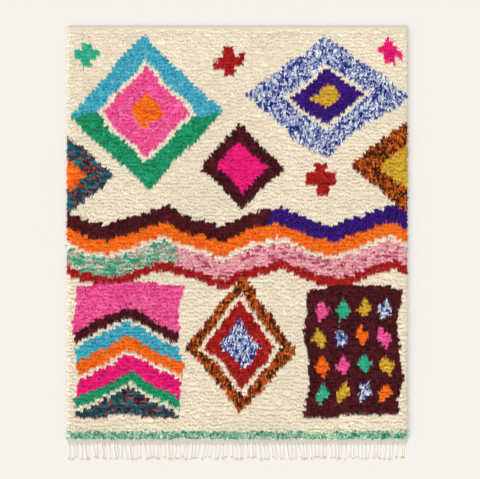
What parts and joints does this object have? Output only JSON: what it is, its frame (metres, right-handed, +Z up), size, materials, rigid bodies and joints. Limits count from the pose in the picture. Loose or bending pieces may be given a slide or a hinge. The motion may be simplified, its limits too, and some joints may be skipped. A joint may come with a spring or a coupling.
{
  "type": "beni ourain rug",
  "caption": "Rectangular hand-knotted wool rug with a long shaggy pile in rows, a flat-woven heading at one end and a fringe of knotted warp ends at the other.",
  "frame": {"origin": "on the floor, at the middle of the whole piece, fringe included", "axes": "+Z up out of the pile, +Y along the rug towards the end with the flat heading, the fringe at -Y, +X across"},
  "size_m": [2.486, 3.1522, 0.0277],
  "materials": {
    "pile_wool": "thick matt wool pile, cream with coloured and heathered motifs, in rows of soft tufts",
    "warp_yarn": "matt twisted natural wool yarn, cream, with tan ends at the knots"
  },
  "bodies": {
    "root": {"shag_rug": "pile_wool", "warp_fringe": "warp_yarn"}
  },
  "joints": []
}
